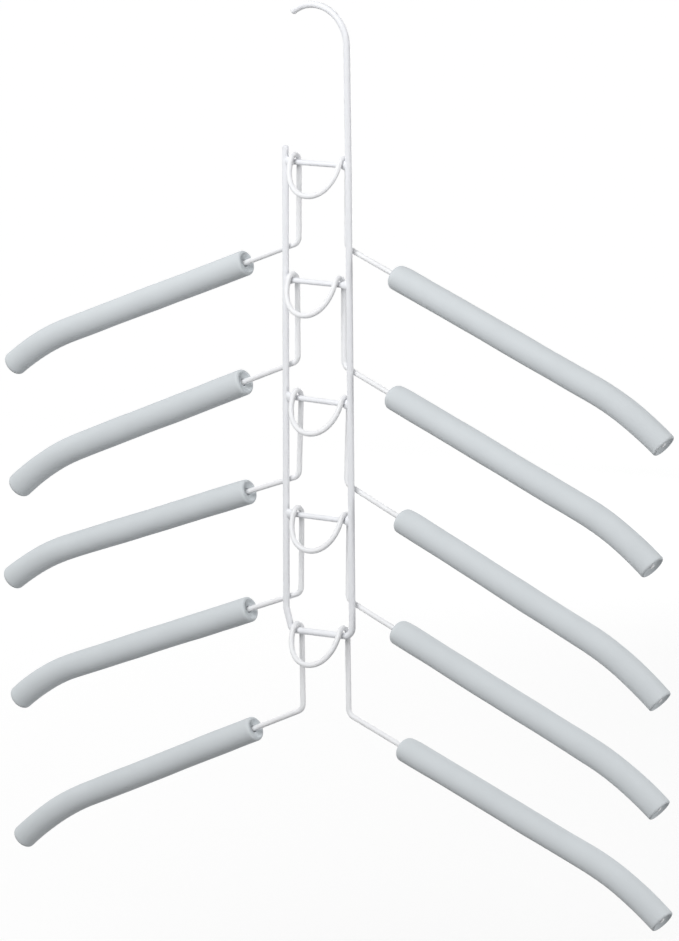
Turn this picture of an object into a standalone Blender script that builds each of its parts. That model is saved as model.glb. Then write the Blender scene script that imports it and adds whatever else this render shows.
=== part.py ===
"""Five-layer padded hanger: a hooked wire frame with five crossbars, and a foam-sleeved wire hanger on each.

Metres, +Z up. The origin is the inside of the hook's top, where it rests on a rail. X runs along the
crossbars, to the right, and Y runs away from the side that faces the room. A level is one crossbar with the
hanger that swings on it, counted from the top.
"""

import math

import bmesh
import bpy
from mathutils import Matrix, Vector

# Wire, and the gap that is kept between touching pieces
FRAME_WIRE = 0.0034
BAR_WIRE = 0.0028
HANGER_WIRE = 0.0028
SEAT_GAP = 0.0003

# Hook and frame, on the wire's centreline
HOOK_RADIUS = 0.0200
HOOK_SWEEP_DEG = 128.0
FIRST_BAR_DROP = 0.0774
BAR_OFFSET = 0.0018
LEVELS = 5
LEVEL_PITCH = 0.0600
RAIL_SPACING = 0.0379
RAIL_SPREAD = 0.0026
FREE_END_RISE = 0.0080
CORNER_RADIUS = 0.0050
CHAMFER_RISE = 0.0110
CHAMFER_RUN = 0.0033
CHAMFER_RADIUS = 0.0030
BAR_TILT_DEG = (0.16, -0.20, -1.02, 0.11, 1.14)

# Hanger wire: hairpins over the bar, the loop in front of it and the risers behind it
RISER_SPACING = 0.0284
HAIRPIN_PLAY = 0.0006
LOOP_DEPTH = 0.0182
LOOP_LEAN_DEG = 26.0
LOOP_POWER = 2.1
RISER_LENGTH = 0.0410
ROOT_RADIUS = 0.0045

# Arms, measured outwards from the riser. Each is cut and bent a little differently: one share for each level.
ARM_REACH = 0.1810
ARM_SLOPE_DEG = 22.2
DROOP_START = 0.1420
DROOP_RADIUS = 0.0980
REACH_SHARES = {"left": (0.983, 1.014, 0.987, 0.986, 1.027), "right": (1.0, 1.004, 1.013, 1.003, 1.02)}
SLOPE_SHARES = (1.0, 1.0, 1.0, 1.0, 1.018)
DROOP_SHARES = {"left": (0.86, 0.93, 0.83, 0.76, 1.0), "right": (1.0, 1.0, 1.0, 1.0, 1.0)}

# Foam sleeves, with one share for each level
SLEEVE_WIDTH = 0.0134
SLEEVE_BORE = 0.0036
SLEEVE_START = 0.0310
SLEEVE_OVERHANG = 0.0004
START_SHARES = {"left": (1.003, 1.065, 0.952, 0.987, 0.968), "right": (0.886, 0.922, 1.028, 0.915, 1.047)}
WIDTH_SHARES = {"left": (0.98, 1.02, 0.98, 0.99, 0.975), "right": (1.0, 1.02, 1.02, 1.01, 0.995)}

# How each hanger sits on its bar
SIDE_SLIP_SHARES = (0.93, -0.57, 0.80, 0.63, 0.23)
YAW_DEG = (2.0, -1.1, 2.0, 1.6, -0.6)
ROLL_DEG = (-0.85, 0.45, -1.2, -1.0, 1.45)
FREE_SWING_DEG = -2.8

# Facets
WIRE_RESOLUTION = 2
BAR_SIDES = 12
SLEEVE_SIDES = 12
BEND_STEP_DEG = 20.0
HOOK_STEP_DEG = 8.0
LOOP_STEPS = 8
DROOP_STEPS = 5
SHARP_EDGE_DEG = 40.0

HAIRPIN_RADIUS = FRAME_WIRE / 2 + SEAT_GAP + HAIRPIN_PLAY + HANGER_WIRE / 2
RISER_X = RISER_SPACING / 2


def clear_scene():
    for obj in list(bpy.data.objects):
        bpy.data.objects.remove(obj, do_unlink=True)


def plain_material(name, colour, roughness):
    surface = bpy.data.materials.new(name)
    surface.use_nodes = True
    shader = surface.node_tree.nodes["Principled BSDF"]
    shader.inputs["Base Color"].default_value = colour
    shader.inputs["Roughness"].default_value = roughness
    shader.inputs["Metallic"].default_value = 0.0
    return surface


def coating_material(name):
    """White powder coating over steel wire."""
    return plain_material(name + "_coating", (0.90, 0.90, 0.92, 1.0), 0.35)


def foam_material(name):
    """Light grey closed-cell foam."""
    return plain_material(name + "_foam", (0.60, 0.63, 0.64, 1.0), 0.9)


def add_object(name, data, surface, parent=None):
    obj = bpy.data.objects.new(name, data)
    bpy.context.scene.collection.objects.link(obj)
    data.materials.append(surface)
    obj.parent = parent
    return obj


def wire(name, points, width, parent=None):
    """A round wire along the points, with flat cut ends."""
    curve = bpy.data.curves.new(name, "CURVE")
    curve.dimensions = "3D"
    curve.bevel_depth = width / 2
    curve.bevel_resolution = WIRE_RESOLUTION
    curve.use_fill_caps = True
    spline = curve.splines.new("POLY")
    spline.points.add(len(points) - 1)
    for place, point in zip(spline.points, points):
        place.co = (*point, 1.0)
    return add_object(name, curve, coating_material(name), parent)


def arc(centre, radius, start_deg, end_deg, step_deg, across, up):
    """Points round an arc from one angle to the other, measured from across towards up."""
    steps = max(1, math.ceil(abs(end_deg - start_deg) / step_deg))
    angles = [math.radians(start_deg + (end_deg - start_deg) * i / steps) for i in range(steps + 1)]
    return [centre + radius * (math.cos(a) * across + math.sin(a) * up) for a in angles]


def rounded(corner, before, after, radius):
    """The points of a bend of this radius at a corner between two straight runs."""
    back = (before - corner).normalized()
    ahead = (after - corner).normalized()
    turn_deg = 180.0 - math.degrees(back.angle(ahead))
    centre = corner + (back + ahead).normalized() * radius / math.sin(back.angle(ahead) / 2)
    first = corner + back * radius * math.tan(math.radians(turn_deg) / 2)
    return arc(centre, radius, 0.0, turn_deg, BEND_STEP_DEG, (first - centre).normalized(), -back)


def rail_half_spacing(drop):
    """Half the distance between the rails' centrelines, this far below the first bar."""
    return (RAIL_SPACING + RAIL_SPREAD * drop / (LEVEL_PITCH * (LEVELS - 1))) / 2


def rail_point(side, drop):
    """A point on the centreline of the left (-1) or right (1) rail."""
    return Vector((BAR_OFFSET + side * rail_half_spacing(drop), 0.0, -FIRST_BAR_DROP - drop))


def bar_centre(level):
    return Vector((BAR_OFFSET, 0.0, -FIRST_BAR_DROP - level * LEVEL_PITCH))


def bar_tilt(level):
    return math.radians(BAR_TILT_DEG[level])


def make_frame():
    """One wire: hook, right rail, rounded corner, last crossbar, angled corner, left rail."""
    right = Vector((1.0, 0.0, 0.0))
    up = Vector((0.0, 0.0, 1.0))
    hook_centre = up * (FRAME_WIRE / 2 - HOOK_RADIUS)
    last_drop = LEVEL_PITCH * (LEVELS - 1)
    tip_to_shank = arc(hook_centre, HOOK_RADIUS, HOOK_SWEEP_DEG, 0.0, HOOK_STEP_DEG, right, up)
    along_bar = Vector((math.cos(bar_tilt(LEVELS - 1)), 0.0, math.sin(bar_tilt(LEVELS - 1))))
    half = rail_half_spacing(last_drop)
    right_corner = bar_centre(LEVELS - 1) + along_bar * half
    left_corner = bar_centre(LEVELS - 1) - along_bar * (half - CHAMFER_RUN)
    left_knee = rail_point(-1, last_drop - CHAMFER_RISE)
    free_end = rail_point(-1, -FREE_END_RISE)
    points = tip_to_shank + [rail_point(1, 0.0)]
    points += rounded(right_corner, rail_point(1, 0.0), left_corner, CORNER_RADIUS)
    points += rounded(left_corner, right_corner, left_knee, CHAMFER_RADIUS)
    points += rounded(left_knee, left_corner, free_end, CHAMFER_RADIUS)
    return wire("spine_frame", points + [free_end], FRAME_WIRE)


def crossbar_mesh(name, half_spacing):
    """A round bar between the rails, its ends coped round them."""
    mesh = bmesh.new()
    rings = []
    for side in (-1, 1):
        ring = []
        for i in range(BAR_SIDES):
            angle = 2 * math.pi * i / BAR_SIDES
            y = BAR_WIRE / 2 * math.cos(angle)
            cope = math.sqrt((FRAME_WIRE / 2 + SEAT_GAP) ** 2 - y**2)
            ring.append(mesh.verts.new((side * (half_spacing - cope), y, BAR_WIRE / 2 * math.sin(angle))))
        hub = mesh.verts.new((side * (half_spacing - FRAME_WIRE / 2 - SEAT_GAP), 0.0, 0.0))
        rings.append(ring)
        for i in range(BAR_SIDES):
            mesh.faces.new((hub, ring[i], ring[i - 1]))
    for i in range(BAR_SIDES):
        mesh.faces.new((rings[0][i], rings[0][i - 1], rings[1][i - 1], rings[1][i]))
    return finish_mesh(mesh, name)


def finish_mesh(mesh, name):
    bmesh.ops.recalc_face_normals(mesh, faces=mesh.faces)
    data = bpy.data.meshes.new(name)
    mesh.to_mesh(data)
    mesh.free()
    data.shade_smooth()
    data.set_sharp_from_angle(angle=math.radians(SHARP_EDGE_DEG))
    return data


def make_crossbar(level):
    name = f"crossbar_{level + 1}"
    half = rail_half_spacing(level * LEVEL_PITCH)
    bar = add_object(name, crossbar_mesh(name, half), coating_material(name))
    bar.location = bar_centre(level)
    bar.rotation_euler.y = -bar_tilt(level)
    return bar


def arm_shape(level, side):
    """An arm's slope and the radius of its droop."""
    slope = math.tan(math.radians(ARM_SLOPE_DEG * SLOPE_SHARES[level]))
    return slope, DROOP_RADIUS * DROOP_SHARES[side][level]


def arm_drop(reach, shape):
    """How far the arm's wire lies below its root, this far out from the riser."""
    slope, droop_radius = shape
    beyond = max(0.0, reach - DROOP_START)
    return reach * slope + beyond**2 / (2 * droop_radius)


def arm_point(reach, shape):
    """A point on the wire of the right arm, from the middle of the hairpins."""
    return Vector((RISER_X + reach, HAIRPIN_RADIUS, -RISER_LENGTH - arm_drop(reach, shape)))


def arm_tangent(reach, shape):
    slope, droop_radius = shape
    return Vector((1.0, 0.0, -slope - max(0.0, reach - DROOP_START) / droop_radius)).normalized()


def droop_reaches(last):
    """The places along the drooping end of the arm where the wire and the sleeve both turn."""
    return [DROOP_START + (last - DROOP_START) * i / DROOP_STEPS for i in range(DROOP_STEPS + 1)]


def half_loop():
    """The front loop from the middle of its lowest run to the start of the hairpin."""
    lean = math.radians(LOOP_LEAN_DEG)
    start = HAIRPIN_RADIUS * Vector((0.0, -math.cos(lean), math.sin(lean)))
    down = LOOP_DEPTH * Vector((0.0, -math.sin(lean), -math.cos(lean)))
    points = []
    for i in range(LOOP_STEPS):
        turn = math.pi / 2 * (1 - i / LOOP_STEPS)
        across = RISER_X * math.cos(turn) ** (2 / LOOP_POWER)
        points.append(Vector((across, 0.0, 0.0)) + start + down * math.sin(turn) ** (2 / LOOP_POWER))
    return points


def half_hanger(level, side):
    """The wire from the loop's middle over the bar, down the riser and out to the arm's tip, to the right."""
    shape = arm_shape(level, side)
    at_riser = Vector((RISER_X, 0.0, 0.0))
    back = Vector((0.0, 1.0, 0.0))
    up = Vector((0.0, 0.0, 1.0))
    root = arm_point(0.0, shape)
    over = arc(at_riser, HAIRPIN_RADIUS, 180.0 - LOOP_LEAN_DEG, 0.0, BEND_STEP_DEG, back, up)
    bend = rounded(root, root + up, root + arm_tangent(0.0, shape), ROOT_RADIUS)
    tip = ARM_REACH * REACH_SHARES[side][level] - SLEEVE_OVERHANG
    return half_loop() + over + bend + [arm_point(reach, shape) for reach in droop_reaches(tip)]


def mirrored(points):
    return [Vector((-point.x, point.y, point.z)) for point in points]


def side_play(level):
    """How far a hanger can slide along its bar before it meets a rail."""
    room = rail_half_spacing(level * LEVEL_PITCH) - FRAME_WIRE / 2
    return room - RISER_X - HANGER_WIRE / 2 - SEAT_GAP


def bar_width(level):
    return FRAME_WIRE if level == LEVELS - 1 else BAR_WIRE


def seat_height(level):
    """Where the middle of the hairpins lies above the bar's axis: they hang on the bar, one a little higher."""
    play = HAIRPIN_RADIUS - HANGER_WIRE / 2 - bar_width(level) / 2 - SEAT_GAP
    raised = RISER_X * abs(math.sin(math.radians(ROLL_DEG[level])))
    askew = RISER_X * abs(math.sin(math.radians(YAW_DEG[level])))
    return raised + askew**2 / play - play


def rest_swing(level):
    """The swing at which an arm lies against the back of its rail. The last hanger has no rails to rest on."""
    if level == LEVELS - 1:
        return math.radians(FREE_SWING_DEG)
    half = rail_half_spacing(level * LEVEL_PITCH + RISER_LENGTH)
    stop = (FRAME_WIRE + HANGER_WIRE) / 2 + SEAT_GAP
    askew = half * abs(math.sin(math.radians(YAW_DEG[level])))
    crossing = RISER_LENGTH + arm_drop(half - RISER_X, arm_shape(level, "right"))
    return math.asin((stop + askew - HAIRPIN_RADIUS) / crossing)


def make_hinge(level):
    """An empty on the bar's axis, which the hanger turns about."""
    hinge = bpy.data.objects.new(f"hinge_{level + 1}", None)
    bpy.context.scene.collection.objects.link(hinge)
    hinge.location = bar_centre(level)
    hinge.rotation_euler.y = -bar_tilt(level)
    return hinge


def make_hanger(level, hinge):
    left = mirrored(half_hanger(level, "left"))
    right = half_hanger(level, "right")
    hanger = wire(f"hanger_wire_{level + 1}", left[:0:-1] + right, HANGER_WIRE, hinge)
    slip = SIDE_SLIP_SHARES[level] * side_play(level)
    hanger.matrix_local = (
        Matrix.Translation((slip, 0.0, seat_height(level)))
        @ Matrix.Rotation(rest_swing(level), 4, "X")
        @ Matrix.Rotation(-math.radians(ROLL_DEG[level]), 4, "Y")
        @ Matrix.Rotation(math.radians(YAW_DEG[level]), 4, "Z")
    )
    return hanger


def sleeve_rings(mesh, reach, shape, width):
    """One ring round the sleeve's outside and one round its bore, square to the arm."""
    tangent = arm_tangent(reach, shape)
    across = Vector((0.0, 1.0, 0.0))
    down = Vector((tangent.z, 0.0, -tangent.x))
    hang = SLEEVE_BORE / 2 - HANGER_WIRE / 2 - SEAT_GAP
    centre = arm_point(reach, shape) + down * hang
    bore_radius = SLEEVE_BORE / 2 / math.cos(math.pi / SLEEVE_SIDES)
    rings = []
    for radius in (width / 2, bore_radius):
        ring = []
        for i in range(SLEEVE_SIDES):
            angle = 2 * math.pi * i / SLEEVE_SIDES
            ring.append(mesh.verts.new(centre + radius * (math.cos(angle) * across + math.sin(angle) * down)))
        rings.append(ring)
    return rings


def sleeve_mesh(name, start, end, shape, width):
    """A foam tube on the right arm, with square-cut ends. The far one reaches past the wire."""
    mesh = bmesh.new()
    stations = [sleeve_rings(mesh, reach, shape, width) for reach in [start] + droop_reaches(end)]
    for near, far in zip(stations, stations[1:]):
        for ring, next_ring in zip(near, far):
            for i in range(SLEEVE_SIDES):
                mesh.faces.new((ring[i], ring[i - 1], next_ring[i - 1], next_ring[i]))
    for outside, bore in (stations[0], stations[-1]):
        for i in range(SLEEVE_SIDES):
            mesh.faces.new((outside[i], outside[i - 1], bore[i - 1], bore[i]))
    return finish_mesh(mesh, name)


def make_sleeve(level, side, hanger):
    name = f"foam_sleeve_{level + 1}_{side}"
    start = SLEEVE_START * START_SHARES[side][level]
    end = ARM_REACH * REACH_SHARES[side][level]
    data = sleeve_mesh(name, start, end, arm_shape(level, side), SLEEVE_WIDTH * WIDTH_SHARES[side][level])
    if side == "left":
        data.transform(Matrix.Scale(-1.0, 4, (1.0, 0.0, 0.0)))
        data.flip_normals()
    return add_object(name, data, foam_material(name), hanger)


def main():
    clear_scene()
    make_frame()
    for level in range(LEVELS - 1):
        make_crossbar(level)
    for level in range(LEVELS):
        hanger = make_hanger(level, make_hinge(level))
        for side in ("left", "right"):
            make_sleeve(level, side, hanger)


main()
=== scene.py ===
# %% [markdown]
# # A five-layer padded hanger
# A hooked wire frame carries five wire hangers, one under the other, and each hanger wears two
# foam tubes. Everything here is a round thing carried along a line: wire, weld, foam. So the whole
# lesson is about one idea, the swept surface, and about how little it takes to make it look real.
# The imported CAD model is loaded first. It fixes every place and every motion, and each new piece
# is built in the same metres and on the same axes, so nothing has to be fitted afterwards.

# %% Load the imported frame
import math

import bpy
import numpy as np
from mathutils import Matrix, Vector


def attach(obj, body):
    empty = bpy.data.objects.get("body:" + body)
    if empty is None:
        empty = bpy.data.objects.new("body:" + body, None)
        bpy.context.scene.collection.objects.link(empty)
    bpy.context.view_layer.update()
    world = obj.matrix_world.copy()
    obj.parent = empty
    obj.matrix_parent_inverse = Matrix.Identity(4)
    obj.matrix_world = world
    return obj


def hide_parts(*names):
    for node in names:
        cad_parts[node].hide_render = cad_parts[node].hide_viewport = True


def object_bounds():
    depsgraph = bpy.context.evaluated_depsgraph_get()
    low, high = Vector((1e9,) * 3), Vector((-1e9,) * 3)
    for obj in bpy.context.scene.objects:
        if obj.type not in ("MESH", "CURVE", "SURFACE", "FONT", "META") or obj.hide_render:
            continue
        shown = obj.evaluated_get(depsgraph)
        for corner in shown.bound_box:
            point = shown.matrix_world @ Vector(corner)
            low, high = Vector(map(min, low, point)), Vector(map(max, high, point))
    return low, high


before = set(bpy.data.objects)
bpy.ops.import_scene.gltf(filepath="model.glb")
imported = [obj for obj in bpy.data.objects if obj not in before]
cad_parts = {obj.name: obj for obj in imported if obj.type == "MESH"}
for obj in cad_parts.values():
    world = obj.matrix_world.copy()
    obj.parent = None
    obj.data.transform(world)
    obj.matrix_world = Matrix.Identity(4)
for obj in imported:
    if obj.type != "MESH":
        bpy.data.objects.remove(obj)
cad_low, cad_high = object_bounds()
print("CAD box in mm:", [round(1000 * side, 1) for side in cad_high - cad_low])

# %% [markdown]
# ## The sizes
# These are the CAD model's own sizes, because a wire that is a millimetre off its bar would show
# at once. Lengths are in metres, and angles are in radians unless their name ends in DEG. A level is
# one crossbar with its hanger, counted from the top. The sides are how many corners a section has.
# No two hangers of a real batch are bent or hung quite alike, so most of the short rows below hold
# one share of a nominal size for each level.

# %% Sizes of the wire frame
FRAME_WIRE = 0.0034
BAR_WIRE = 0.0028
HANGER_WIRE = 0.0028
SEAT_GAP = 0.0003
HOOK_RADIUS = 0.0200
HOOK_SWEEP_DEG = 128.0
FIRST_BAR_DROP = 0.0774
BAR_OFFSET = 0.0018
LEVELS = 5
LEVEL_PITCH = 0.0600
RAIL_SPACING = 0.0379
RAIL_SPREAD = 0.0026
FREE_END_RISE = 0.0080
CORNER_RADIUS = 0.0050
CHAMFER_RISE = 0.0110
CHAMFER_RUN = 0.0033
CHAMFER_RADIUS = 0.0030
BAR_TILT = np.radians((0.16, -0.20, -1.02, 0.11, 1.14))
FRAME_WIRE_EDGE = 0.0007
FRAME_WIRE_SIDES = 28

# %% Sizes of the hangers and their sleeves
RISER_X = 0.0142
HAIRPIN_PLAY = 0.0006
HAIRPIN_RADIUS = FRAME_WIRE / 2 + SEAT_GAP + HAIRPIN_PLAY + HANGER_WIRE / 2
HANGER_WIRE_EDGE = 0.0005
HANGER_WIRE_SIDES = 24
LOOP_DEPTH = 0.0182
LOOP_LEAN = math.radians(26)
LOOP_POWER = 2.1
RISER_LENGTH = 0.0410
ROOT_RADIUS = 0.0045
ARM_REACH = 0.1810
ARM_SLOPE_DEG = 22.2
DROOP_START = 0.1420
DROOP_RADIUS = 0.0980
REACH_SHARES = {
    "left": (0.983, 1.014, 0.987, 0.986, 1.027),
    "right": (1.0, 1.004, 1.013, 1.003, 1.02),
}
SLOPE_SHARES = (1.0, 1.0, 1.0, 1.0, 1.018)
DROOP_SHARES = {
    "left": (0.86, 0.93, 0.83, 0.76, 1.0),
    "right": (1.0, 1.0, 1.0, 1.0, 1.0),
}
SLEEVE_WIDTH = 0.0134
SLEEVE_BORE = 0.0036
SLEEVE_START = 0.0310
SLEEVE_OVERHANG = 0.0004
SLEEVE_SIDES = 56
START_SHARES = {
    "left": (1.003, 1.065, 0.952, 0.987, 0.968),
    "right": (0.886, 0.922, 1.028, 0.915, 1.047),
}
WIDTH_SHARES = {
    "left": (0.98, 1.02, 0.98, 0.99, 0.975),
    "right": (1.0, 1.02, 1.02, 1.01, 0.995),
}
SIDE_SLIP_SHARES = (0.93, -0.57, 0.80, 0.63, 0.23)
YAW = np.radians((2.0, -1.1, 2.0, 1.6, -0.6))
ROLL = np.radians((-0.85, 0.45, -1.2, -1.0, 1.45))
FREE_SWING = math.radians(-2.8)
print("Arms reach", round(1000 * (RISER_X + ARM_REACH)), "mm to each side")

# %% [markdown]
# ## Shared effects
# Real surfaces are never one flat colour. Two effects are used by more than one finish here, so
# each is a shader node group with named inputs, made once and placed in every material with its
# own values. Image textures could do the same, but they stretch round tight bends. Noise that is
# read at a point in space does not, and it stays sharp at any zoom.
#
# The first effect is the skin of powder coating. The powder melts and flows before it sets, and
# leaves shallow dimples a bit under a millimetre across, which makers call orange peel. It also
# flows a little thicker and thinner, so the gloss is not quite even.

# %% A helper for node groups
def new_group(name, inputs, outputs):
    """An empty shader node group with number inputs (name: default) and number outputs."""
    group = bpy.data.node_groups.new(name, "ShaderNodeTree")
    for label, value in inputs.items():
        socket = group.interface.new_socket(label, in_out="INPUT", socket_type="NodeSocketFloat")
        socket.default_value = value
    for label in outputs:
        group.interface.new_socket(label, in_out="OUTPUT", socket_type="NodeSocketFloat")
    return group, group.nodes.new("NodeGroupInput"), group.nodes.new("NodeGroupOutput")


def noise(tree, place, scale, detail=2.0, roughness=0.5):
    """Smooth random values in space. Scale is in waves per metre: a number or a node's output."""
    node = tree.nodes.new("ShaderNodeTexNoise")
    node.inputs["Detail"].default_value = detail
    node.inputs["Roughness"].default_value = roughness
    tree.links.new(place, node.inputs["Vector"])
    if isinstance(scale, bpy.types.NodeSocket):
        tree.links.new(scale, node.inputs["Scale"])
    else:
        node.inputs["Scale"].default_value = scale
    return node.outputs["Fac"]


def ramp(tree, value, low, high, to_low=0.0, to_high=1.0):
    """Moves the values between low and high to new limits, and holds them there outside."""
    node = tree.nodes.new("ShaderNodeMapRange")
    limits = {"From Min": low, "From Max": high, "To Min": to_low, "To Max": to_high}
    for label, number in limits.items():
        node.inputs[label].default_value = number
    tree.links.new(value, node.inputs["Value"])
    return node.outputs["Result"]


def combine(tree, how, first, second):
    """One step of arithmetic on two values. Either may be a plain number."""
    node = tree.nodes.new("ShaderNodeMath")
    node.operation = how
    for socket, value in zip(node.inputs, (first, second)):
        if isinstance(value, bpy.types.NodeSocket):
            tree.links.new(value, socket)
        else:
            socket.default_value = value
    return node.outputs["Value"]


# %% Orange peel of the powder coating
DIMPLES_PER_METRE, SWELLS_PER_METRE = 1300.0, 260.0
SWELL_SHARE = 0.6

peel, peel_in, peel_out = new_group(
    "orange_peel", {"Dimples per metre": DIMPLES_PER_METRE}, ("Height", "Flow"))
place = peel.nodes.new("ShaderNodeTexCoord").outputs["Object"]
dimples = noise(peel, place, peel_in.outputs["Dimples per metre"], detail=1.0)
swell = noise(peel, place, SWELLS_PER_METRE)
weak_swell = combine(peel, "MULTIPLY", swell, SWELL_SHARE)
peel.links.new(combine(peel, "ADD", dimples, weak_swell), peel_out.inputs["Height"])
peel.links.new(ramp(peel, swell, 0.30, 0.70), peel_out.inputs["Flow"])
print("Group orange_peel:", len(peel.nodes), "nodes")

# %% [markdown]
# The second effect is foam. Closed-cell foam is a mass of bubbles 0.2 to 0.4 mm wide. Where it was
# pressed out through the die it has a skin that almost hides them, and where a knife cut it they
# lie open. One group makes both: a cellular pattern for the bubbles, a finer grain for the broken
# walls between them, and broad, weak patches of tone, because foam is never mixed quite evenly.

# %% Foam cells
CELLS_PER_METRE, GRAINS_PER_METRE, PATCHES_PER_METRE = 3200.0, 5200.0, 55.0

cells, cells_in, cells_out = new_group(
    "foam_cells", {"Cells per metre": CELLS_PER_METRE}, ("Height", "Tone"))
place = cells.nodes.new("ShaderNodeTexCoord").outputs["Object"]
bubbles = cells.nodes.new("ShaderNodeTexVoronoi")
cells.links.new(place, bubbles.inputs["Vector"])
cells.links.new(cells_in.outputs["Cells per metre"], bubbles.inputs["Scale"])
grain = noise(cells, place, GRAINS_PER_METRE, detail=3.0, roughness=0.65)
relief = combine(cells, "ADD", bubbles.outputs["Distance"], grain)
cells.links.new(relief, cells_out.inputs["Height"])
patches = noise(cells, place, PATCHES_PER_METRE, detail=4.0, roughness=0.6)
cells.links.new(ramp(cells, patches, 0.28, 0.72), cells_out.inputs["Tone"])
print("Group foam_cells:", len(cells.nodes), "nodes")

# %% [markdown]
# ## The materials
# Colours are written as they are on the real thing, and the lamps are kept plain, so that the part
# looks right under other light too. The wire is a cool white powder coating with a satin gloss.
# The frame's thicker wire is given a coating a touch greyer and cooler than the hangers' wire.

# %% A helper for materials
def new_material(name, roughness):
    """A Principled material with its tree, its shader and room for the nodes that feed it."""
    made = bpy.data.materials.new(name)
    made.use_nodes = True
    shader = made.node_tree.nodes["Principled BSDF"]
    shader.inputs["Roughness"].default_value = roughness
    return made, made.node_tree, shader


def place_group(tree, group, **values):
    """Puts a node group into a material, with this material's own values."""
    node = tree.nodes.new("ShaderNodeGroup")
    node.node_tree = group
    for label, value in values.items():
        node.inputs[label.replace("_", " ")].default_value = value
    return node


def mix_colours(tree, mask, first, second):
    """Goes from the first colour to the second with the mask."""
    node = tree.nodes.new("ShaderNodeMix")
    node.data_type = "RGBA"
    tree.links.new(mask, node.inputs["Factor"])
    node.inputs["A"].default_value = (*first, 1)
    node.inputs["B"].default_value = (*second, 1)
    return node.outputs["Result"]


def add_bump(tree, shader, height, distance, strength):
    """Bumps the shader's normal. A height of 0 to 1 stands for this distance in metres."""
    node = tree.nodes.new("ShaderNodeBump")
    node.inputs["Distance"].default_value = distance
    node.inputs["Strength"].default_value = strength
    tree.links.new(height, node.inputs["Height"])
    tree.links.new(node.outputs["Normal"], shader.inputs["Normal"])


# %% Powder-coated wire
COATING_SPECULAR = 0.2
THIN_DULLER, THICK_GLOSSIER = 0.05, 0.04
PEEL_DEPTH, PEEL_STRENGTH = 0.00003, 0.5


def coating(name, thick, thin, roughness):
    """Satin powder coating: colour and gloss both follow how thickly the powder flowed."""
    made, tree, shader = new_material(name, roughness)
    shader.inputs["Specular IOR Level"].default_value = COATING_SPECULAR
    skin = place_group(tree, peel, Dimples_per_metre=DIMPLES_PER_METRE)
    flow = skin.outputs["Flow"]
    gloss = ramp(tree, flow, 0, 1, roughness + THIN_DULLER, roughness - THICK_GLOSSIER)
    tree.links.new(mix_colours(tree, flow, thin, thick), shader.inputs["Base Color"])
    tree.links.new(gloss, shader.inputs["Roughness"])
    add_bump(tree, shader, skin.outputs["Height"], PEEL_DEPTH, PEEL_STRENGTH)
    return made


frame_coating = coating("frame_coating", (0.850, 0.860, 0.885), (0.830, 0.840, 0.870), 0.34)
hanger_coating = coating("hanger_coating", (0.860, 0.866, 0.879), (0.840, 0.846, 0.863), 0.32)
print("Coatings:", frame_coating.name, hanger_coating.name)


# %% [markdown]
# The foam has two finishes on one tube. The skin is matt, smooth and a cool light grey. The cut
# ends and the bore show the open cells: rougher to the eye, a touch darker, and without the faint
# sheen that a skin has at a grazing angle.

# %% Foam skin and cut foam
FOAM_ROUGHNESS, FOAM_SPECULAR = 0.88, 0.25
SHEEN_ROUGHNESS = 0.6
CELL_STRENGTH = 0.6


def foam(name, light, dark, cells_per_metre, depth, sheen):
    """Closed-cell foam: its colour wanders between two close tones. The cells are this deep."""
    made, tree, shader = new_material(name, FOAM_ROUGHNESS)
    structure = place_group(tree, cells, Cells_per_metre=cells_per_metre)
    tone = mix_colours(tree, structure.outputs["Tone"], dark, light)
    tree.links.new(tone, shader.inputs["Base Color"])
    shader.inputs["Sheen Weight"].default_value = sheen
    shader.inputs["Sheen Roughness"].default_value = SHEEN_ROUGHNESS
    shader.inputs["Specular IOR Level"].default_value = FOAM_SPECULAR
    add_bump(tree, shader, structure.outputs["Height"], depth, CELL_STRENGTH)
    return made


foam_skin = foam(
    "foam_skin", (0.640, 0.675, 0.697), (0.617, 0.651, 0.673),
    cells_per_metre=3600.0, depth=0.00002, sheen=0.05)
foam_cut = foam(
    "foam_cut", (0.610, 0.645, 0.668), (0.575, 0.610, 0.633),
    cells_per_metre=2800.0, depth=0.00005, sheen=0.0)
print("Foam finishes:", foam_skin.name, foam_cut.name)

# %% [markdown]
# ## Sweeping a round thing along a line
# A wire could be a Blender curve with a bevel. Here it is worked out as a surface of two
# parameters, the station along the line and the angle round it, because the radius can then change
# from station to station: that one freedom gives the eased ends of a cut wire, the collar of a
# weld and the soft edge of foam. The line itself is made of straight runs and arcs.

# %% Lines made of straight runs and arcs
def unit(vectors):
    """Vectors divided by their own lengths."""
    return vectors / np.linalg.norm(vectors, axis=-1, keepdims=True)


def arc(centre, radius, start, end, across, up, stations):
    """centre + radius (cos a across + sin a up), with the angle a from start to end in degrees."""
    angle = np.radians(np.linspace(start, end, stations))[:, None]
    return centre + radius * (np.cos(angle) * across + np.sin(angle) * up)


def bend(corner, before, after, radius, stations=14):
    """The arc that rounds a corner and touches both runs.

    Its centre lies on the line that halves the corner, radius / sin(half the corner's angle) away.
    """
    back, ahead = unit(before - corner), unit(after - corner)
    opening = np.arccos(back @ ahead)
    centre = corner + unit(back + ahead) * radius / np.sin(opening / 2)
    first = corner + back * radius / np.tan(opening / 2)
    return arc(centre, radius, 0, 180 - np.degrees(opening), unit(first - centre), -back, stations)


RIGHT, BACK, UP = np.eye(3)


# %% Rings round a line
def headings(path):
    """The way the line runs at each station: the mean of the unit steps before and after it."""
    steps = unit(np.diff(path, axis=0))
    return unit(np.concatenate([steps[:1], steps[:-1] + steps[1:], steps[-1:]]))


def carried_sides(ahead, first):
    """A direction square to the line, carried along it without twist.

    At each station it loses what points along the line: side - heading (side . heading).
    """
    sides = [first]
    for heading in ahead:
        side = sides[-1] - heading * (sides[-1] @ heading)
        sides.append(side / np.linalg.norm(side))
    return np.array(sides[1:])


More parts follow.
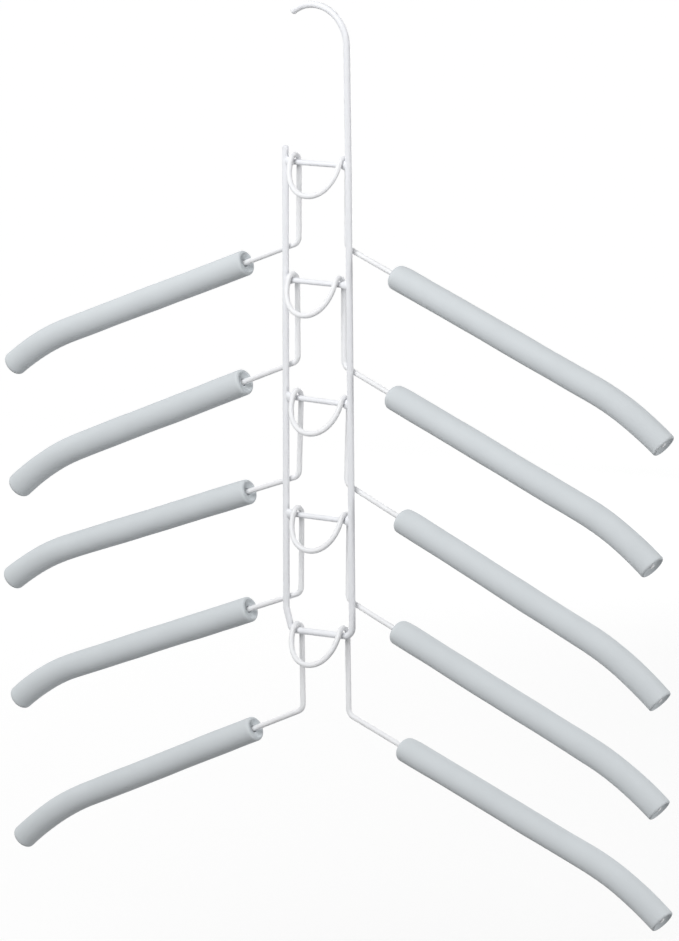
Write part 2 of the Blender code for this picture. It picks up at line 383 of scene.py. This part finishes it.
def rings(path, radii, sides, first=BACK):
    """path + radius (cos a side + sin a third), as an array of stations by sides by 3.

    Third is square to the line and to the carried side.
    """
    ahead = headings(path)
    side = carried_sides(ahead, first)
    third = np.cross(ahead, side)
    angle = np.linspace(0, 2 * np.pi, sides, endpoint=False)[None, :, None]
    radii = np.asarray(radii, float).reshape(len(path), 1, 1)
    return path[:, None] + radii * (np.cos(angle) * side[:, None] + np.sin(angle) * third[:, None])


def eased_ends(path, radius, edge, steps=7):
    """A cut wire with its edges eased by quarter circles.

    Over the last stretch the radius loses edge (1 - cos t) while the station moves edge sin t.
    """
    t = np.linspace(0, np.pi / 2, steps)[:, None]
    start_way, end_way = unit(path[1] - path[0]), unit(path[-1] - path[-2])
    head = path[0] + start_way * edge * (1 - np.sin(t[::-1]))
    tail = path[-1] - end_way * edge * (1 - np.sin(t))
    narrow = radius - edge * (1 - np.cos(t[:, 0]))
    middle = np.full(len(path) - 2, radius)
    return np.concatenate([head, path[1:-1], tail]), np.concatenate([narrow[::-1], middle, narrow])


# %% [markdown]
# Rings become a mesh when each is joined to the next with quads. A wire is closed at both ends by
# a fan of triangles round a middle point. A foam tube needs no fans, because its last ring is its
# first one again: outside, over the end, back through the bore and over the other end.

# %% From rings to a mesh
def ring_quads(rows, sides, looped=False):
    """Each grid cell's corners: (i, j), (i, j+1), (i+1, j+1), (i+1, j).

    The sides always close on themselves, and the rows do where looped is true.
    """
    i, j = np.meshgrid(np.arange(rows if looped else rows - 1), np.arange(sides), indexing="ij")
    next_i, next_j = (i + 1) % rows, (j + 1) % sides
    corners = [i * sides + j, i * sides + next_j, next_i * sides + next_j, next_i * sides + j]
    return np.stack(corners, -1).reshape(-1, 4)


def end_fans(rows, sides):
    """Triangles that close both end rings round the two middle points stored after the rings."""
    j = np.arange(sides)
    next_j = (j + 1) % sides
    last, middle = (rows - 1) * sides, rows * sides
    head = np.stack([np.full(sides, middle), next_j, j], -1)
    tail = np.stack([np.full(sides, middle + 1), last + j, last + next_j], -1)
    return np.concatenate([head, tail])


def add_piece(name, points, faces, *materials):
    """A smooth-shaded mesh object at the origin, with its place in its mesh."""
    data = bpy.data.meshes.new(name)
    data.from_pydata(points.reshape(-1, 3).tolist(), [], faces)
    data.shade_smooth()
    for surface in materials:
        data.materials.append(surface)
    piece = bpy.data.objects.new(name, data)
    bpy.context.scene.collection.objects.link(piece)
    return piece


def add_wire(name, points, surface):
    """A closed round body from rings of points."""
    rows, sides = points.shape[:2]
    middles = np.stack([points[0].mean(0), points[-1].mean(0)])
    faces = ring_quads(rows, sides).tolist() + end_fans(rows, sides).tolist()
    return add_piece(name, np.concatenate([points.reshape(-1, 3), middles]), faces, surface)


# %% [markdown]
# ## The frame wire
# One wire makes the whole spine. It starts at the hook's free tip, runs over the hook, comes down
# as the right rail, turns at a rounded corner to become the lowest crossbar, turns twice more at
# an angled corner, and goes up again as the left rail to a cut end beside the first crossbar.
# Bending it from one piece is what makes the real thing cheap and strong, so it is one piece here.

# %% The route of the frame wire
def rail_half_spacing(drop):
    """Half the distance between the rails, this far below the first bar. It grows downwards."""
    return (RAIL_SPACING + RAIL_SPREAD * drop / (LEVEL_PITCH * (LEVELS - 1))) / 2


def rail_point(side, drop):
    """A point on the right (side 1) or left (side -1) rail, this far below the first bar."""
    return np.array([BAR_OFFSET + side * rail_half_spacing(drop), 0, -FIRST_BAR_DROP - drop])


def bar_centre(level):
    """The middle of a level's crossbar."""
    return np.array([BAR_OFFSET, 0, -FIRST_BAR_DROP - level * LEVEL_PITCH])


last_drop = LEVEL_PITCH * (LEVELS - 1)
along_bar = np.array([math.cos(BAR_TILT[-1]), 0, math.sin(BAR_TILT[-1])])
right_corner = bar_centre(LEVELS - 1) + along_bar * rail_half_spacing(last_drop)
left_corner = bar_centre(LEVELS - 1) - along_bar * (rail_half_spacing(last_drop) - CHAMFER_RUN)
left_knee = rail_point(-1, last_drop - CHAMFER_RISE)
rail_top, free_end = rail_point(1, 0), rail_point(-1, -FREE_END_RISE)
hook = arc(UP * (FRAME_WIRE / 2 - HOOK_RADIUS), HOOK_RADIUS, HOOK_SWEEP_DEG, 0, RIGHT, UP, 48)
frame_route = np.concatenate([
    hook,
    rail_top[None],
    bend(right_corner, rail_top, left_corner, CORNER_RADIUS),
    bend(left_corner, right_corner, left_knee, CHAMFER_RADIUS),
    bend(left_knee, left_corner, free_end, CHAMFER_RADIUS),
    free_end[None],
])

# %% The frame wire
wire_path, wire_radii = eased_ends(frame_route, FRAME_WIRE / 2, FRAME_WIRE_EDGE)
spine = add_wire("frame_wire", rings(wire_path, wire_radii, FRAME_WIRE_SIDES), frame_coating)
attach(spine, "frame")
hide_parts("spine_frame")
print("frame_wire:", len(spine.data.polygons), "faces")

# %% [markdown]
# ## The crossbars and their welds
# Four short bars are resistance welded between the rails: current heats the crossing until the
# metal of both wires flows together, and leaves a small lumpy collar. After coating, the collar is
# what tells a welded bar from one that merely touches. Each bar is one sweep whose radius swells
# towards both rails, taller along the rail than in front of it, and the swelling is uneven by a
# few seeded waves, so that no two welds are alike.

# %% Crossbars with weld collars
COLLAR_RUN = 0.0021
COLLAR_HEIGHT = 0.0011
COLLAR_FRONT = 0.0004
COLLAR_LUMPS = 0.35
WELD_OVERRUN = 0.0002
WELD_CLOSING = 0.75
WELD_SEED = 40


def welded_bar(level, sides=FRAME_WIRE_SIDES):
    """Rings of a round bar whose radius swells by collar exp(-(distance / run)^2).

    The distance is from the rail's face, and the collar is higher upwards than to the front.
    Inside the rail the section closes to half its size, sqrt(1 - closing share^2).
    """
    chance = np.random.default_rng(WELD_SEED + level)
    half = rail_half_spacing(level * LEVEL_PITCH)
    rail_face = half - FRAME_WIRE / 2
    x = (half + WELD_OVERRUN) * np.sin(np.linspace(-np.pi / 2, np.pi / 2, 91))
    depth = np.clip(rail_face - np.abs(x), 0, None)
    swell = np.exp(-(depth / COLLAR_RUN) ** 2)[:, None]
    angle = np.linspace(0, 2 * np.pi, sides, endpoint=False)[None]
    phases = chance.uniform(0, 2 * np.pi, 6)
    end = np.sign(x)[:, None]
    lumps = sum(np.cos((k + 1) * angle + phases[k] + end * phases[k + 3]) for k in range(3)) / 3
    tall = BAR_WIRE / 2 + swell * COLLAR_HEIGHT * (1 + COLLAR_LUMPS * lumps)
    front = BAR_WIRE / 2 + swell * COLLAR_FRONT * (1 + COLLAR_LUMPS * lumps)
    share = np.clip((np.abs(x) - rail_face) / (FRAME_WIRE / 2 + WELD_OVERRUN), 0, 1)[:, None]
    closing = np.sqrt(1 - WELD_CLOSING * share**2)
    x = np.broadcast_to(x[:, None], tall.shape)
    local = np.stack([x, front * closing * np.cos(angle), tall * closing * np.sin(angle)], -1)
    turn = np.array(Matrix.Rotation(-BAR_TILT[level], 3, "Y"))
    return local @ turn.T + bar_centre(level)


for level in range(LEVELS - 1):
    bar = add_wire(f"crossbar_{level + 1}_welded", welded_bar(level), frame_coating)
    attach(bar, "frame")
    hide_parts(f"crossbar_{level + 1}")
print("Crossbars:", LEVELS - 1)

# %% [markdown]
# ## How each hanger hangs
# A hanger's wire passes over its bar twice, in two tight hairpins, and gravity does the rest: the
# hanger slides a little to one side, tips, turns, and swings back until its arms touch the rails.
# These small errors are what makes the photograph look like a photograph, so each level has its
# own slip, roll and yaw, and the height and the swing follow from where the wires touch.

# %% The place of each hanger
def seat_height(level):
    """The middle of the hairpins lies below the bar's axis by their play, less roll and yaw."""
    width = FRAME_WIRE if level == LEVELS - 1 else BAR_WIRE
    play = HAIRPIN_RADIUS - HANGER_WIRE / 2 - width / 2 - SEAT_GAP
    askew = RISER_X * abs(math.sin(YAW[level]))
    return RISER_X * abs(math.sin(ROLL[level])) + askew**2 / play - play


def rest_swing(level):
    """The swing that lays an arm against the back of its rail. The lowest hanger has no rail."""
    if level == LEVELS - 1:
        return FREE_SWING
    half = rail_half_spacing(level * LEVEL_PITCH + RISER_LENGTH)
    stop = (FRAME_WIRE + HANGER_WIRE) / 2 + SEAT_GAP
    askew = half * abs(math.sin(YAW[level]))
    crossing = RISER_LENGTH + arm_drop(half - RISER_X, arm_shape(level, "right"))
    return math.asin((stop + askew - HAIRPIN_RADIUS) / crossing)


def hanger_place(level):
    """The matrix that takes a hanger's own coordinates to the frame's."""
    room = rail_half_spacing(level * LEVEL_PITCH) - FRAME_WIRE / 2
    slip = SIDE_SLIP_SHARES[level] * (room - RISER_X - HANGER_WIRE / 2 - SEAT_GAP)
    return np.array(
        Matrix.Translation(Vector(bar_centre(level)))
        @ Matrix.Rotation(-BAR_TILT[level], 4, "Y")
        @ Matrix.Translation((slip, 0, seat_height(level)))
        @ Matrix.Rotation(rest_swing(level), 4, "X")
        @ Matrix.Rotation(-ROLL[level], 4, "Y")
        @ Matrix.Rotation(YAW[level], 4, "Z")
    )


def placed(points, matrix):
    """Points times a 4 x 4 matrix."""
    return points @ matrix[:3, :3].T + matrix[:3, 3]


# %% [markdown]
# ## The hanger wires
# Each hanger is one thinner wire. From the tip of the left arm it runs in along the arm, bends up
# into a riser, goes over the bar, down and round in a leaning D-shaped loop in front of it, and
# then back the same way on the right. The loop keeps the hanger from lifting off its bar. A
# superellipse gives the D its square shoulders, and a parabola gives the arm's end its droop.

# %% The route of a hanger wire
def arm_shape(level, side):
    """An arm's slope, as a tangent, and the radius of its droop."""
    slope = math.tan(math.radians(ARM_SLOPE_DEG * SLOPE_SHARES[level]))
    return slope, DROOP_RADIUS * DROOP_SHARES[side][level]


def arm_drop(reach, shape):
    """reach slope, and past the droop's start a parabola: (distance past it)^2 / (2 radius)."""
    slope, droop_radius = shape
    beyond = np.maximum(0, reach - DROOP_START)
    return reach * slope + beyond**2 / (2 * droop_radius)


def arm_point(reach, shape):
    """The wire of the right arm, this far out from the riser."""
    reach = np.asarray(reach, float)
    level_y = np.full_like(reach, HAIRPIN_RADIUS)
    return np.stack([RISER_X + reach, level_y, -RISER_LENGTH - arm_drop(reach, shape)], -1)


def arm_heading(reach, shape):
    """The unit vector along the arm, from the slope of its drop."""
    reach = np.asarray(reach, float)
    slope = shape[0] + np.maximum(0, reach - DROOP_START) / shape[1]
    return unit(np.stack([np.ones_like(reach), np.zeros_like(reach), -slope], -1))


def half_loop(stations=40):
    """A quarter superellipse in the leaning plane.

    across = half width cos(t)^(2/p) and down = depth sin(t)^(2/p).
    """
    turn = np.linspace(np.pi / 2, 0, stations, endpoint=False)[:, None]
    start = HAIRPIN_RADIUS * np.array([0, -math.cos(LOOP_LEAN), math.sin(LOOP_LEAN)])
    down = LOOP_DEPTH * np.array([0, -math.sin(LOOP_LEAN), -math.cos(LOOP_LEAN)])
    across = RISER_X * np.cos(turn) ** (2 / LOOP_POWER)
    return across * RIGHT + start + np.sin(turn) ** (2 / LOOP_POWER) * down


def half_hanger(level, side):
    """Loop, hairpin over the bar, riser, root bend and arm, to the right."""
    shape = arm_shape(level, side)
    root = arm_point(0, shape)
    over = arc(RISER_X * RIGHT, HAIRPIN_RADIUS, 180 - math.degrees(LOOP_LEAN), 0, BACK, UP, 22)
    foot = bend(root, root + UP, root + arm_heading(0, shape), ROOT_RADIUS)
    tip = ARM_REACH * REACH_SHARES[side][level] - SLEEVE_OVERHANG
    arm = arm_point(np.linspace(DROOP_START, tip, 24), shape)
    return np.concatenate([half_loop(), over, foot, arm])


# %% The hanger wires
for level in range(LEVELS):
    left = half_hanger(level, "left") * (-1, 1, 1)
    right = half_hanger(level, "right")
    route = placed(np.concatenate([left[:0:-1], right]), hanger_place(level))
    wire_path, wire_radii = eased_ends(route, HANGER_WIRE / 2, HANGER_WIRE_EDGE)
    points = rings(wire_path, wire_radii, HANGER_WIRE_SIDES)
    wire = add_wire(f"hanger_{level + 1}_wire", points, hanger_coating)
    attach(wire, f"hanger_{level + 1}")
    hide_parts(f"hanger_wire_{level + 1}")
print("Hanger wires:", LEVELS, "with", len(wire.data.polygons), "faces each")

# %% [markdown]
# ## The foam sleeves
# Foam pipe is pressed out of a die by the metre, cut to length with a knife and pushed over the
# arm. Simulated cloth suits a stuffed cover, but this is one solid soft body with no cover and
# nothing to sag into, so its form is worked out instead: a ring of stations that goes along the
# outside, over a softly rounded rim, down the dished face that the knife leaves in soft foam, and
# back through the bore. Slow waves take away the machined look, the top of the right sleeves' inner
# ends is drawn in towards the wire, and on the inside of the droop the foam is pressed together
# and shows faint folds.

# %% The section of a sleeve
INNER_EDGE = {"left": 0.0016, "right": 0.0030}
OUTER_EDGE = {"left": 0.0022, "right": 0.0010}
INNER_DISH, OUTER_DISH = 0.0013, 0.0016
BORE_EDGE = 0.0004
KNIFE_ANGLE = 1.0


def sleeve_end(radius, bore, edge, dish):
    """From the skin into the bore: (depth behind the rim, wall radius, is cut foam).

    The rim and the lip are quarter circles, and the skin ends at the knife's angle on the rim.
    Between them the face drops by dish (1 - (1 - fall)^3), steep behind the rim and flat round
    the bore.
    """
    t = np.linspace(0, np.pi / 2, 10)
    fall = np.linspace(0, 1, 14)[1:-1]
    rim_foot, lip_top = radius - edge, bore + BORE_EDGE
    rim_depth, lip_depth = edge * (1 - np.sin(t)), dish + BORE_EDGE * (1 - np.cos(t))
    face_depth = dish * (1 - (1 - fall) ** 3)
    rim = np.stack([rim_depth, radius - edge * (1 - np.cos(t)), t > KNIFE_ANGLE], -1)
    face = np.stack([face_depth, rim_foot + (lip_top - rim_foot) * fall, fall > 0], -1)
    lip = np.stack([lip_depth, bore + BORE_EDGE * (1 - np.sin(t)), t >= 0], -1)
    return np.concatenate([rim, face, lip])


def sleeve_profile(length, radius, bore, side):
    """Stations once round the wall, by way of skin, far end, bore and near end.

    Each is (distance along, radius, is cut foam).
    """
    near = sleeve_end(radius, bore, INNER_EDGE[side], INNER_DISH)[::-1]
    far = sleeve_end(radius, bore, OUTER_EDGE[side], OUTER_DISH) * (-1, 1, 1) + (length, 0, 0)
    along = np.linspace(near[-1, 0], far[0, 0], 132)[1:-1]
    skin = np.stack([along, np.full_like(along, radius), np.zeros_like(along)], -1)
    along = np.linspace(far[-1, 0], near[0, 0], 52)[1:-1]
    hole = np.stack([along, np.full_like(along, bore), np.ones_like(along)], -1)
    return np.concatenate([skin, far, hole, near])


TABLE_LEAD, TABLE_END, TABLE_ROWS = 0.002, 0.2, 4000


def arm_reach_at(distance, start, shape):
    """The reach at this distance along the sleeve, read from a table of the arm's length."""
    reach = np.linspace(start - TABLE_LEAD, TABLE_END, TABLE_ROWS)
    steps = np.hypot(np.diff(reach), np.diff(arm_drop(reach, shape)))
    travelled = np.concatenate([[0], np.cumsum(steps)])
    return np.interp(distance, travelled - np.interp(start, reach, travelled), reach)


# %% Slow waves, folds and the drawn-in shoulder
WAVES = ((0, 0.061, 0.5), (1, 0.083, 0.9), (2, 0.037, 0.5), (3, 0.022, 0.25))
WAVE_HEIGHT, FOLD_HEIGHT = 0.00007, 0.00004
FOLD_PITCH = 0.0041
FOLDS_FROM, FOLDS_TO, FOLDS_FADE = DROOP_START - 0.004, 0.176, 0.008
SHOULDER_DROP, SHOULDER_RUN = {"left": 0.0, "right": 0.0010}, 0.0100


def waves(distance, angle, chance):
    """Sum of height cos(turns angle + 2 pi distance / length + phase), with seeded phases."""
    total = 0
    for turns, length, height in WAVES:
        phase = chance.uniform(0, 2 * np.pi)
        total = total + height * np.cos(turns * angle + 2 * np.pi * distance / length + phase)
    return total


def folds(distance, angle, reach):
    """Cosine ripples one pitch apart, only in the droop and on the underside."""
    starting = np.clip((reach - FOLDS_FROM) / FOLDS_FADE, 0, 1)
    ending = np.clip((FOLDS_TO - reach) / FOLDS_FADE, 0, 1)
    below = np.clip(np.sin(angle), 0, 1) ** 3
    return starting * ending * below * np.cos(2 * np.pi * distance / FOLD_PITCH)


def shoulder(distance, angle, side):
    """How far an end's upper half is drawn in: drop (1 - distance / run)^2 sin(height)."""
    fading = np.clip(1 - distance / SHOULDER_RUN, 0, 1) ** 2
    return SHOULDER_DROP[side] * fading * np.clip(-np.sin(angle), 0, 1)


# %% The foam sleeves
SLEEVE_SEED = 100


def sleeve_points(level, side, sides=SLEEVE_SIDES):
    """centre(distance) + radius (cos a across + sin a down), and which stations are cut foam."""
    chance = np.random.default_rng(SLEEVE_SEED + 2 * level + (side == "left"))
    shape = arm_shape(level, side)
    start = SLEEVE_START * START_SHARES[side][level]
    end = ARM_REACH * REACH_SHARES[side][level]
    radius = SLEEVE_WIDTH * WIDTH_SHARES[side][level] / 2
    span = np.linspace(start, end, 2000)
    length = np.hypot(np.diff(span), np.diff(arm_drop(span, shape))).sum()
    distance, wall, cut = sleeve_profile(length, radius, SLEEVE_BORE / 2, side).T
    reach = arm_reach_at(distance, start, shape)
    ahead = arm_heading(reach, shape)
    down = np.stack([ahead[:, 2], np.zeros_like(reach), -ahead[:, 0]], -1)
    centre = arm_point(reach, shape) + down * (SLEEVE_BORE / 2 - HANGER_WIRE / 2 - SEAT_GAP)
    angle = np.linspace(0, 2 * np.pi, sides, endpoint=False)[None]
    share = np.clip((wall - SLEEVE_BORE / 2) / (radius - SLEEVE_BORE / 2), 0, 1)[:, None]
    distance, reach = distance[:, None], reach[:, None]
    uneven = WAVE_HEIGHT * waves(distance, angle, chance)
    uneven = uneven + FOLD_HEIGHT * folds(distance, angle, reach)
    wall = (wall[:, None] + share * (uneven - shoulder(distance, angle, side)))[..., None]
    angle = angle[..., None]
    points = centre[:, None] + wall * (np.cos(angle) * BACK + np.sin(angle) * down[:, None])
    return points, cut


for level in range(LEVELS):
    for side in ("left", "right"):
        points, cut = sleeve_points(level, side)
        rows, sides = points.shape[:2]
        faces = ring_quads(rows, sides, looped=True)
        if side == "left":
            points = points * (-1, 1, 1)
            faces = faces[:, ::-1]
        points = placed(points, hanger_place(level))
        sleeve = add_piece(f"foam_{level + 1}_{side}", points, faces.tolist(), foam_skin, foam_cut)
        sleeve.data.polygons.foreach_set("material_index", np.repeat(cut, sides).astype(np.int32))
        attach(sleeve, f"hanger_{level + 1}")
        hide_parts(f"foam_sleeve_{level + 1}_{side}")
print("Sleeves:", 2 * LEVELS, "with", len(sleeve.data.polygons), "faces each")

# %% [markdown]
# ## The camera
# The photograph was taken with a long lens, a little from the right and slightly from above. The
# camera stands where a fit of the wire's own corners puts it: turned 34 degrees round the object,
# 11 degrees above it, and rolled by a quarter of a degree.

# %% The camera
AIM = np.array([0.014694, -0.000101, -0.231903])
TURN_DEG, RISE_DEG = 34.0, 11.05
TILT = math.radians(-0.244)
DISTANCE, FAR_CLIP = 2.3039, 100
LENS_MM, SENSOR_MM = 175.14, 36


def direction(turn, rise):
    """(sin turn cos rise, -cos turn cos rise, sin rise), outwards, from angles in degrees."""
    turn, rise = math.radians(turn), math.radians(rise)
    flat = math.cos(rise)
    return np.array([math.sin(turn) * flat, -math.cos(turn) * flat, math.sin(rise)])


back_to_camera = direction(TURN_DEG, RISE_DEG)
level_right = direction(TURN_DEG + 90, 0)
level_up = np.cross(back_to_camera, level_right)
camera_right = level_right * math.cos(TILT) + level_up * math.sin(TILT)
camera_up = level_up * math.cos(TILT) - level_right * math.sin(TILT)
axes = Matrix(np.stack([camera_right, camera_up, back_to_camera], -1).tolist()).to_4x4()
lens = bpy.data.cameras.new("camera")
lens.sensor_width = SENSOR_MM
lens.lens = LENS_MM
lens.clip_end = FAR_CLIP
camera = bpy.data.objects.new("camera", lens)
camera.matrix_world = Matrix.Translation(Vector(AIM + back_to_camera * DISTANCE)) @ axes
bpy.context.scene.collection.objects.link(camera)
bpy.context.scene.camera = camera
print("Camera at", [round(float(v), 3) for v in camera.location])

# %% [markdown]
# ## The light
# Four soft lamps light the hanger as a product table would: a large one high in front, a weak one
# on the left that brightens the upper side of the foam, one behind for the back, and a low one on
# the right that keeps the cut ends readable. Each is given by the direction it shines from and by
# its level, which is the brightness of a white card that faces it. A lamp of P watts gives such a
# card the level P / (pi distance)^2, so its power is level (pi distance)^2.

# %% The lamps
CENTRE = np.array([0, 0, -0.23])
SKY_LEVEL = 0.31
LAMPS = {
    "front_lamp": dict(turn=3, rise=38, distance=1.35, size=0.9, level=0.87),
    "left_lamp": dict(turn=-104, rise=32, distance=1.30, size=0.8, level=0.23),
    "rear_lamp": dict(turn=186, rise=10, distance=1.60, size=0.9, level=0.31),
    "right_lamp": dict(turn=107, rise=-4, distance=1.60, size=0.8, level=0.38),
}

for name, lamp in LAMPS.items():
    way = direction(lamp["turn"], lamp["rise"])
    light = bpy.data.lights.new(name, "AREA")
    light.size = lamp["size"]
    light.energy = lamp["level"] * (math.pi * lamp["distance"]) ** 2
    piece = bpy.data.objects.new(name, light)
    piece.location = CENTRE + way * lamp["distance"]
    piece.rotation_mode = "QUATERNION"
    piece.rotation_quaternion = Vector(way).to_track_quat("Z", "Y")
    piece.visible_camera = False
    bpy.context.scene.collection.objects.link(piece)
    print(name, round(light.energy, 1), "W")

# %% [markdown]
# ## The white room
# The photograph is a cut-out on white. A floor that is simply painted white would shine as much
# light up under the foam as falls on its top, so this one is grey to the rays that light things.
# The camera and reflections also see a glow on it, which is worked out for each point of the floor
# as what the lamps leave missing from white. Where the object takes light away, that much is still
# missing, and this is its shadow. The aim is a hair above white, so that noise leaves no grey.

# %% The floor
FLOOR_DROP = 0.12
FLOOR_Z = float(cad_low.z) - FLOOR_DROP
FLOOR_SHADE = 0.32
FLOOR_RADIUS, FLOOR_ROWS, FLOOR_SIDES = 16.0, 72, 96
JUST_WHITE = 1.003


def seen_directly(tree):
    """1 for the rays of the camera, a reflection or glass, and 0 for those that only light."""
    path = tree.nodes.new("ShaderNodeLightPath")
    either = combine(tree, "MAXIMUM", path.outputs["Is Camera Ray"], path.outputs["Is Glossy Ray"])
    return combine(tree, "MAXIMUM", either, path.outputs["Is Transmission Ray"])


def floor_points(radius, rows, sides):
    """Rings of a flat disc: radius station^2, so that the cells are small in the middle."""
    size = radius * np.linspace(0.02, 1, rows)[:, None] ** 2
    angle = np.linspace(0, 2 * np.pi, sides, endpoint=False)[None]
    flat = np.full((rows, sides), FLOOR_Z)
    return np.stack([size * np.cos(angle), size * np.sin(angle), flat], -1)


def lamp_light(points):
    """Level of a white floor: the sky, and what each lamp gives.

    A lamp gives level (distance / r)^2 cos(angle at the lamp) cos(angle at the floor).
    """
    total = np.full(len(points), SKY_LEVEL)
    for lamp in LAMPS.values():
        way = direction(lamp["turn"], lamp["rise"])
        ray = CENTRE + way * lamp["distance"] - points
        r = np.linalg.norm(ray, axis=1)
        at_lamp, at_floor = np.clip(ray @ way, 0, None) / r, np.clip(ray[:, 2], 0, None) / r
        total += lamp["level"] * (lamp["distance"] / r) ** 2 * at_lamp * at_floor
    return total


floor_paint, tree, shader = new_material("floor_paint", 1.0)
shader.inputs["Base Color"].default_value = (FLOOR_SHADE, FLOOR_SHADE, FLOOR_SHADE, 1)
shader.inputs["Specular IOR Level"].default_value = 0.0
shader.inputs["Emission Color"].default_value = (1, 1, 1, 1)
glow = tree.nodes.new("ShaderNodeAttribute")
glow.attribute_name = "glow"
strength = combine(tree, "MULTIPLY", seen_directly(tree), glow.outputs["Fac"])
tree.links.new(strength, shader.inputs["Emission Strength"])
disc = floor_points(FLOOR_RADIUS, FLOOR_ROWS, FLOOR_SIDES)
faces = ring_quads(FLOOR_ROWS, FLOOR_SIDES)[:, ::-1].tolist() + [list(range(FLOOR_SIDES))]
floor = add_piece("floor", disc, faces, floor_paint)
missing = JUST_WHITE - FLOOR_SHADE * lamp_light(disc.reshape(-1, 3))
values = floor.data.attributes.new("glow", "FLOAT", "POINT").data
values.foreach_set("value", missing.astype(np.float32))
print("Floor at", round(1000 * FLOOR_Z), "mm, glow up to", round(float(missing.max()), 2))

# %% The white background
world = bpy.data.worlds.new("white_room")
bpy.context.scene.world = world
world.use_nodes = True
tree = world.node_tree
sky = tree.nodes["Background"]
sky.inputs["Color"].default_value = (1, 1, 1, 1)
tree.links.new(ramp(tree, seen_directly(tree), 0, 1, SKY_LEVEL, 1.0), sky.inputs["Strength"])

# %% [markdown]
# ## The view
# The colours are shown through the Standard view transform.

# %% The view transform
view = bpy.context.scene.view_settings
view.view_transform = "Standard"
